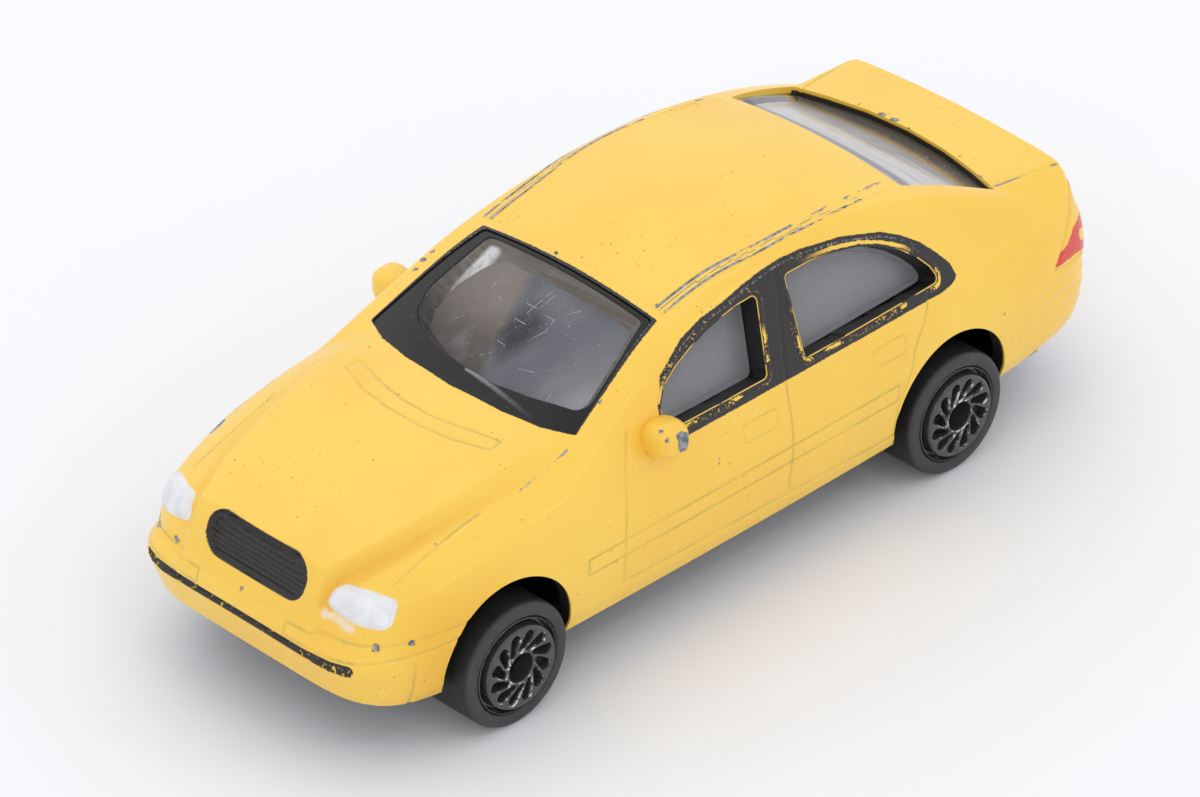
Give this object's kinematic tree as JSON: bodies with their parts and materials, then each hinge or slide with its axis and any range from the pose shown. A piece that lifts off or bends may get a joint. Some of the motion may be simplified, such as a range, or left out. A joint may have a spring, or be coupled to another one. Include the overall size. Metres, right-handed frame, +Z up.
{
  "type": "toy car",
  "caption": "Die-cast toy saloon car with hollow painted shell, clear window moulding, seat tub, base plate and free-rolling wheels pressed on wire axles.",
  "frame": {"origin": "on the ground under the middle of the car's overall length, between the left and right wheels", "axes": "+X to the front of the car, +Y to its left, +Z up"},
  "size_m": [0.075, 0.0318, 0.0249],
  "materials": {
    "yellow_paint": "gloss enamel over zinc, worn at the edges",
    "smoked_window": "clear, slightly smoked, scratched",
    "tub_plastic": "matt black moulding",
    "base_plastic": "satin black moulding",
    "axle_steel": "drawn wire",
    "hub_plastic": "gloss black moulding",
    "tyre_rubber": "satin black"
  },
  "bodies": {
    "car": {"body_shell": "yellow_paint", "window_moulding": "smoked_window", "seat_tub": "tub_plastic", "base_plate": "base_plastic"},
    "front_wheels": {"front_axle": "axle_steel", "front_left_hub": "hub_plastic", "front_right_hub": "hub_plastic", "front_left_tyre": "tyre_rubber", "front_right_tyre": "tyre_rubber"},
    "rear_wheels": {"rear_axle": "axle_steel", "rear_left_hub": "hub_plastic", "rear_right_hub": "hub_plastic", "rear_left_tyre": "tyre_rubber", "rear_right_tyre": "tyre_rubber"}
  },
  "joints": [
    {"name": "front_wheels_spin", "type": "hinge", "parent": "car", "child": "front_wheels", "pos_m": [0.0243, 0, 0.005], "axis": [0, 1, 0], "continuous": true},
    {"name": "rear_wheels_spin", "type": "hinge", "parent": "car", "child": "rear_wheels", "pos_m": [-0.0207, 0, 0.005], "axis": [0, 1, 0], "continuous": true}
  ]
}
